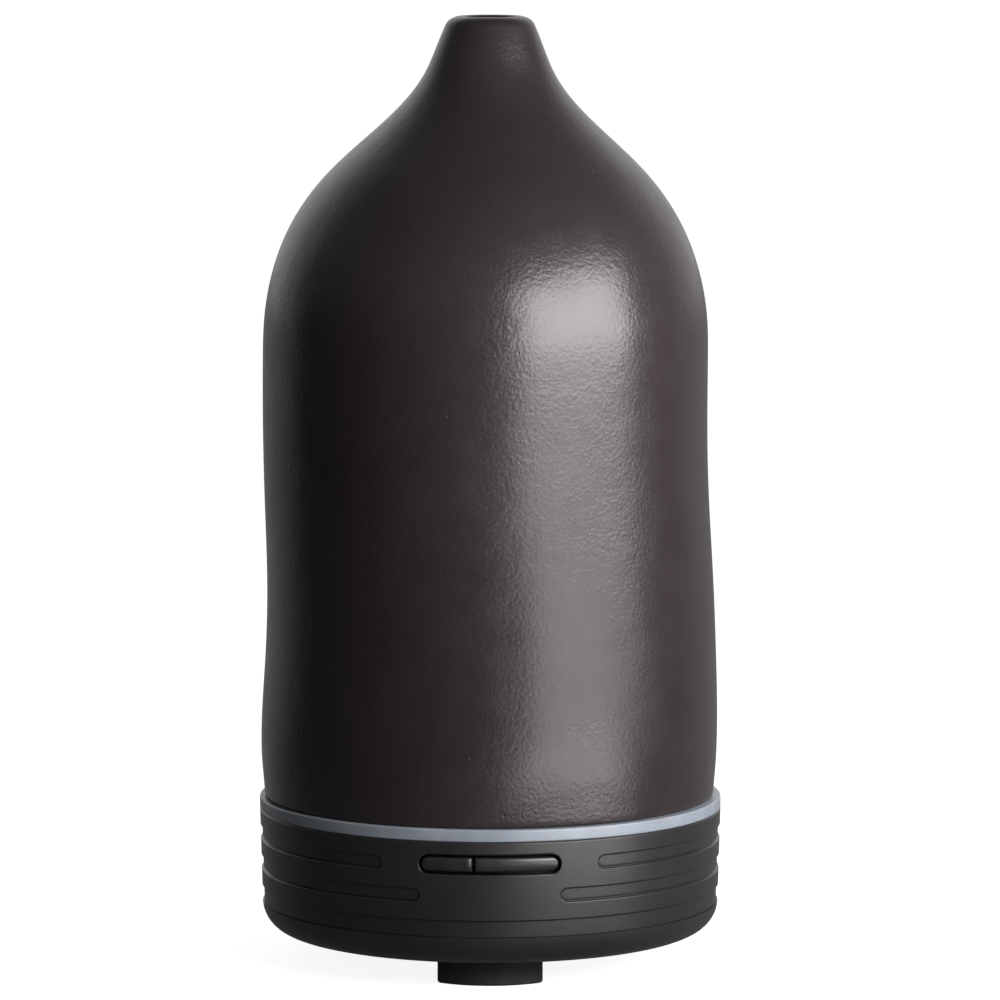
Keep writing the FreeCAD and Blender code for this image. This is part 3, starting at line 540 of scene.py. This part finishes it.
def shell_bearings():
    """Bearings from the front, in radians: close together where something ends."""
    parts = [spaced(-180, 178.5, 1.5), spaced(-19, 19, 0.33), spaced(-186.5, -173.5, 0.33)]
    for _, _, half_angle in BANDS[:2]:
        parts.append(spaced(half_angle - 0.3, half_angle + 2.4, 0.16))
        parts.append(spaced(-half_angle - 2.4, -half_angle + 0.3, 0.16))
    degrees = np.concatenate(parts)
    degrees = np.where(degrees < -180, degrees + 360, degrees)
    degrees = np.unique(np.round(degrees, 3))
    keep = [degrees[0]]
    for value in degrees[1:]:
        if value - keep[-1] > 0.11:
            keep.append(value)
    return np.radians(keep)


def base_shell():
    """Wall with bands, the slot and the socket hole cut through and their edges rounded."""
    z = shell_rows()
    bearing = shell_bearings()
    rows, columns = len(z), len(bearing)
    bb, zz = np.meshgrid(bearing, z)
    outer_r = shell_radius(bb, zz)
    inner_r = np.full_like(outer_r, WALL_R)
    is_back = np.cos(bb) < 0
    holes = ((slot_distance, False), (socket_distance, True))
    layers = []
    for radius in (outer_r, inner_r):
        x = radius * np.sin(bb)
        zl = zz.copy()
        for distance, back in holes:
            out, ux, uz = distance(x, zl)
            near = (is_back == back) & (out < EDGE_R) & (out > -HOLE_REACH)
            x = np.where(near, x + ux * (EDGE_R - out), x)
            zl = np.where(near, zl + uz * (EDGE_R - out), zl)
        y = np.sqrt(np.maximum(radius ** 2 - x ** 2, 0))
        layers.append(np.stack([x, np.where(is_back, y, -y), zl], axis=2))
    middle_z = 0.5 * (zz + np.roll(zz, -1, 0))
    step = np.roll(bb, -1, 1) - bb
    middle = bb + np.where(step < 0, step + 2 * math.pi, step) / 2
    hole = np.zeros((rows, columns), bool)
    for distance, back in holes:
        out = distance(shell_radius(middle, middle_z) * np.sin(middle), middle_z)[0]
        hole |= ((np.cos(middle) < 0) == back) & (out < 0.0)
    hole = hole[:-1]
    count = rows * columns
    points = [layers[0].reshape(-1, 3), layers[1].reshape(-1, 3)]
    faces = []
    edges = {}
    for i in range(rows - 1):
        for j in range(columns):
            if hole[i, j]:
                continue
            k = (j + 1) % columns
            a, b = i * columns + j, i * columns + k
            c, d = (i + 1) * columns + k, (i + 1) * columns + j
            faces.append((a, b, c, d))
            faces.append((a + count, d + count, c + count, b + count))
            for edge in ((a, b), (b, c), (c, d), (d, a)):
                edges[edge] = edges.get(edge, 0) + 1
    for j in range(columns):
        k = (j + 1) % columns
        top = (rows - 1) * columns
        faces.append((j, j + count, k + count, k))
        faces.append((top + j, top + k, top + k + count, top + j + count))
    rim = [e for e in edges if (e[1], e[0]) not in edges
           and not (e[0] // columns == e[1] // columns and e[0] // columns in (0, rows - 1))]
    used = sorted({v for e in rim for v in e})
    flat = layers[0].reshape(-1, 3)
    extra = {}
    total = 2 * count
    rounding = [(0.05, 0.045), (0.0, EDGE_R)]      # outside the hole and below the wall
    for grow, sink in rounding:
        ring = []
        for v in used:
            x0, y0, z0 = flat[v]
            back = y0 > 0
            distance = socket_distance if back else slot_distance
            out, ux, uz = distance(x0, z0)
            x1, z1 = x0 + ux * (grow - out), z0 + uz * (grow - out)
            radius = math.hypot(x0, y0) - sink
            y1 = math.sqrt(max(radius ** 2 - x1 ** 2, 0))
            ring.append((x1, y1 if back else -y1, z1))
            extra[(v, grow)] = total
            total += 1
        points.append(np.array(ring))
    for v, w in rim:
        chain_v = [v] + [extra[(v, g)] for g, _ in rounding] + [v + count]
        chain_w = [w] + [extra[(w, g)] for g, _ in rounding] + [w + count]
        for a, b, c, d in zip(chain_v, chain_w, chain_w[1:], chain_v[1:]):
            faces.append((b, a, d, c))
    obj = add_mesh("shell_moulding", np.concatenate(points), faces, MATERIALS["base_plastic"])
    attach(obj, "base")
    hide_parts("base_shell")


# ---- light ring ------------------------------------------------------------------------
def revolved(name, profile, material, columns):
    """Closed outline of (r, z) points turned round the axis."""
    profile = np.asarray(profile, float)
    angle = np.linspace(0, 2 * math.pi, columns, endpoint=False)
    x = profile[:, :1] * np.cos(angle)
    y = profile[:, :1] * np.sin(angle)
    z = np.broadcast_to(profile[:, 1:], x.shape)
    points = np.stack([x, y, z], axis=2).reshape(-1, 3)
    return add_mesh(name, points, wrap_faces(len(profile), columns, True), material)


def light_ring():
    low, high = SHELL_TOP, DECK_Z
    soft = 0.32
    profile = np.concatenate([
        [(39.2, low), (41.6, low), (41.6, low - 1.0), (42.5, low - 1.0), (42.5, low)],
        corner_arc((RING_R - soft, low), (RING_R, low), (RING_R, low + soft)),
        corner_arc((RING_R, high - soft), (RING_R, high), (RING_R - soft, high)),
        [(41.2, high), (41.2, 31.0), (39.2, 31.0)]])
    obj = revolved("light_guide_ring", profile, MATERIALS["light_guide"], 320)
    obj.data.set_sharp_from_angle(angle=math.radians(40))
    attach(obj, "base")
    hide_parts("light_ring")


# ---- buttons ---------------------------------------------------------------------------
BUTTON_HALF_H = 1.45
BUTTON_CROWN_R = 44.55    # the face's highest line, along the middle
BUTTON_CROWN = 0.30       # how much lower the face is at its upper and lower edges
BUTTON_EDGE_DROP = 0.75   # from the face's highest line to the foot of the edge rounding
BUTTON_EDGE = 0.45        # radius of the edge rounding
BUTTON_INSETS = (0.0, 0.03, 0.09, 0.18, 0.3, 0.45, 0.62, 0.8, 1.0, 1.2, 1.4)
BUTTON_SPLIT = (-3.275, -2.925)
FLANGE_R = (41.05, 42.15)
FLANGE_MARGIN = 1.35
ROLL_WIDTH = 1.3          # the short button's inner end rolls away over this width
ROLL_DEPTH = 0.55         # and by at most this depth
CORNER_POINTS = 10        # points of a button's outline at each corner,
SIDE_STEPS = 36           # steps along its long sides
END_STEPS = 6             # and along its ends


def slab_outline(x, half_height, radii):
    """Upright outline in (x, z) round a slab, with its own corner radius at each end."""
    left, right = x
    points = []
    corners = ((right, radii[1], -90, -1, -1), (right, radii[1], 0, -1, 1),
               (left, radii[0], 90, 1, 1), (left, radii[0], 180, 1, -1))
    for edge_x, radius, start, sign_x, sign_z in corners:
        centre = (edge_x + sign_x * radius, SLOT_Z + sign_z * (half_height - radius))
        for angle in np.radians(np.linspace(start, start + 90, CORNER_POINTS)):
            points.append((centre[0] + radius * math.cos(angle),
                           centre[1] + radius * math.sin(angle)))
    points = np.array(points)
    out = []
    for index, (a, b) in enumerate(zip(points, np.roll(points, -1, axis=0))):
        out.append(a)
        if index % CORNER_POINTS == CORNER_POINTS - 1:
            pieces = SIDE_STEPS if (index // CORNER_POINTS) % 2 else END_STEPS
            out.extend(a + (b - a) * t for t in np.linspace(0, 1, pieces + 1)[1:-1])
    return np.array(out)


def button_loop(x, half_height, radii, radius):
    """Outline bent round the axis at that radius, a number or a function of (x, z)."""
    outline = slab_outline(x, half_height, radii)
    px, pz = outline[:, 0], outline[:, 1]
    if callable(radius):
        radius = radius(px, pz)
    return np.column_stack([px, -np.sqrt(radius ** 2 - px ** 2), pz])


def button(name, x, round_ends, node, body):
    """Crowned cap that follows the wall's curve, with soft edges and a flange behind."""
    end_r = [BUTTON_HALF_H if is_round else 0.30 for is_round in round_ends]
    wide = (x[0] - FLANGE_MARGIN * round_ends[0], x[1] + FLANGE_MARGIN * round_ends[1])
    flange_r = [r + FLANGE_MARGIN if is_round else 0.05 for r, is_round in
                zip(end_r, round_ends)]
    tall = BUTTON_HALF_H + FLANGE_MARGIN
    loops = [button_loop(wide, tall, flange_r, r) for r in FLANGE_R]
    loops.append(button_loop(x, BUTTON_HALF_H, end_r, FLANGE_R[1]))

    def face_radius(inset):
        def at(px, pz):
            share = 1 - min(inset, BUTTON_EDGE) / BUTTON_EDGE
            rise = BUTTON_EDGE * math.sqrt(max(0.0, 1 - share ** 2))
            crown = BUTTON_CROWN * (1 - ((pz - SLOT_Z) / BUTTON_HALF_H) ** 2)
            roll = 0
            if not round_ends[1]:
                near = np.clip(1 - (x[1] - px) / ROLL_WIDTH, 0, 1)
                roll = ROLL_DEPTH * (1 - np.sqrt(1 - (0.98 * near) ** 2))
            return BUTTON_CROWN_R - BUTTON_EDGE_DROP + rise + crown - roll
        return at

    for inset in BUTTON_INSETS:
        inner = (x[0] + inset, x[1] - inset)
        corner = [max(r - inset, 0.04) for r in end_r]
        loops.append(button_loop(inner, BUTTON_HALF_H - inset, corner, face_radius(inset)))
    obj = loft(name, loops, MATERIALS["button_plastic"])
    obj.data.set_sharp_from_angle(angle=math.radians(50))
    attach(obj, body)
    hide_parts(node)


def buttons():
    gap = SLOT_HALF - 0.45
    button("light_button_cap", (-gap, BUTTON_SPLIT[0]), (True, False), "light_button",
           "light_key")
    button("mist_button_cap", (BUTTON_SPLIT[1], gap), (False, True), "mist_button", "mist_key")


# ---- the rest of the CAD nodes keep their shapes and get their materials ----------------
def dress_nodes():
    slots = {s["node"]: s["material_slot"] for s in frame["record"]["subparts"]}
    for name, obj in NODES.items():
        material = MATERIALS[slots[name]]
        if not obj.material_slots:
            obj.data.materials.append(material)
        for place in obj.material_slots:
            place.link = "OBJECT"
            place.material = material


# ---- floor, light and camera -----------------------------------------------------------
FLOOR_HALF = 12.0         # metres
FLOOR_GLOW = 0.90         # what the camera sees of the floor, besides the light that falls on it
FLOOR_GREY = 0.55         # its own colour to the camera
FLOOR_DULL = 0.10         # the floor as the object mirrors it: dull, with a glow at the back
BACK_GLOW = 0.24
SKY_SEEN = 1.03           # the white that the camera sees behind the floor


def floor():
    """Floor that is plain and nearly white to the camera. Other rays, so also the object's
    reflections, meet a darker floor that glows towards the back."""
    mesh = bpy.data.meshes.new("floor")
    size = FLOOR_HALF
    mesh.from_pydata([(-size, -size, 0), (size, -size, 0), (size, size, 0), (-size, size, 0)],
                     [], [(0, 1, 2, 3)])
    obj = bpy.data.objects.new("floor", mesh)
    bpy.context.scene.collection.objects.link(obj)
    m = Nodes("floor_paper")
    tree = m.tree
    tree.nodes.remove(m.shader)
    output = next(n for n in tree.nodes if n.type == "OUTPUT_MATERIAL")
    seen = m.add("ShaderNodeLightPath").outputs["Is Camera Ray"]
    place = m.add("ShaderNodeSeparateXYZ")
    m.link(m.place, place.inputs[0])
    white = m.add("ShaderNodeEmission")
    white.inputs["Strength"].default_value = FLOOR_GLOW
    bright = m.add("ShaderNodeBsdfDiffuse")
    bright.inputs["Color"].default_value = (FLOOR_GREY, FLOOR_GREY, FLOOR_GREY, 1)
    add = m.add("ShaderNodeAddShader")
    m.link(white.outputs[0], add.inputs[0])
    m.link(bright.outputs[0], add.inputs[1])
    dull = m.add("ShaderNodeBsdfDiffuse")
    dull.inputs["Color"].default_value = (FLOOR_DULL, FLOOR_DULL, FLOOR_DULL, 1)
    aside = m.combine("ABSOLUTE", place.outputs["X"], 0)
    behind = m.combine("SUBTRACT", place.outputs["Y"], m.combine("MULTIPLY", aside, 0.45))
    glow = m.add("ShaderNodeEmission")
    m.link(m.spread(behind, -0.10, 0.12, 0.0, BACK_GLOW), glow.inputs["Strength"])
    lit = m.add("ShaderNodeAddShader")
    m.link(dull.outputs[0], lit.inputs[0])
    m.link(glow.outputs[0], lit.inputs[1])
    mix = m.add("ShaderNodeMixShader")
    m.link(seen, mix.inputs[0])
    m.link(lit.outputs[0], mix.inputs[1])
    m.link(add.outputs[0], mix.inputs[2])
    m.link(mix.outputs[0], output.inputs[0])
    mesh.materials.append(m.material)


def world():
    """White to the camera. For the object, bright low down behind it, dim in front, and a
    little brighter overhead."""
    sky = bpy.data.worlds.new("studio")
    bpy.context.scene.world = sky
    sky.use_nodes = True
    tree = sky.node_tree
    tree.nodes.clear()

    def add(kind, **settings):
        node = tree.nodes.new(kind)
        for key, value in settings.items():
            setattr(node, key, value)
        return node

    output = add("ShaderNodeOutputWorld")
    direction = add("ShaderNodeTexCoord").outputs["Generated"]
    split = add("ShaderNodeSeparateXYZ")
    tree.links.new(direction, split.inputs[0])

    def ramp(axis, low, high, to_low, to_high):
        node = add("ShaderNodeMapRange", interpolation_type="SMOOTHSTEP")
        for name, value in (("From Min", low), ("From Max", high), ("To Min", to_low),
                            ("To Max", to_high)):
            node.inputs[name].default_value = value
        tree.links.new(split.outputs[axis], node.inputs["Value"])
        return node.outputs["Result"]

    def combine(operation, a, b):
        node = add("ShaderNodeMath", operation=operation)
        tree.links.new(a, node.inputs[0])
        tree.links.new(b, node.inputs[1])
        return node.outputs[0]

    behind = ramp("Y", 0.30, 0.85, 0.03, 1.0)
    low_down = ramp("Z", 0.40, 0.85, 1.0, 0.05)
    overhead = ramp("Z", 0.02, 0.45, 0.0, 0.17)
    lit = add("ShaderNodeBackground")
    tree.links.new(combine("ADD", combine("MULTIPLY", behind, low_down), overhead),
                   lit.inputs["Strength"])
    seen = add("ShaderNodeBackground")
    seen.inputs["Strength"].default_value = SKY_SEEN
    path = add("ShaderNodeLightPath").outputs["Is Camera Ray"]
    mix = add("ShaderNodeMixShader")
    tree.links.new(path, mix.inputs[0])
    tree.links.new(lit.outputs[0], mix.inputs[1])
    tree.links.new(seen.outputs[0], mix.inputs[2])
    tree.links.new(mix.outputs[0], output.inputs[0])


def soft_box(name, azimuth, distance, height, size, radiance, flat=False):
    """Rectangular lamp, upright and facing the object or flat on the floor facing up; azimuth
    0 is in front of the object and 90 on its right. Sizes are in metres."""
    a = math.radians(azimuth)
    lamp = bpy.data.lights.new(name, "AREA")
    lamp.shape = "RECTANGLE"
    lamp.size, lamp.size_y = size
    lamp.energy = radiance * math.pi * size[0] * size[1]
    obj = bpy.data.objects.new(name, lamp)
    bpy.context.scene.collection.objects.link(obj)
    obj.location = (distance * math.sin(a), -distance * math.cos(a), height)
    obj.rotation_euler = (math.pi if flat else math.pi / 2, 0, -a if flat else a)
    obj.visible_camera = False


CAMERA_AT = (0.0019, -1.307, 0.2405)
CAMERA_DOWN = 6.57        # degrees below level
CAMERA_LENS = 243.5
CAMERA_SENSOR = 36.0


def camera():
    data = bpy.data.cameras.new("camera")
    data.lens = CAMERA_LENS
    data.sensor_width = CAMERA_SENSOR
    data.clip_end = 50.0
    obj = bpy.data.objects.new("camera", data)
    bpy.context.scene.collection.objects.link(obj)
    obj.location = CAMERA_AT
    obj.rotation_euler = (math.radians(90 - CAMERA_DOWN), 0, 0)
    bpy.context.scene.camera = obj


camera()
floor()
world()
soft_box("key_high", azimuth=46.5, distance=0.33, height=0.200, size=(0.372, 0.200),
         radiance=12.8)
soft_box("key_floor", azimuth=38.0, distance=0.28, height=0.002, size=(0.24, 0.22),
         radiance=7.0, flat=True)
soft_box("key_low", azimuth=46.5, distance=0.33, height=0.050, size=(0.372, 0.098),
         radiance=2.2)
bpy.context.scene.view_settings.view_transform = "Standard"

dress_nodes()
ceramic_cover()
base_shell()
light_ring()
buttons()
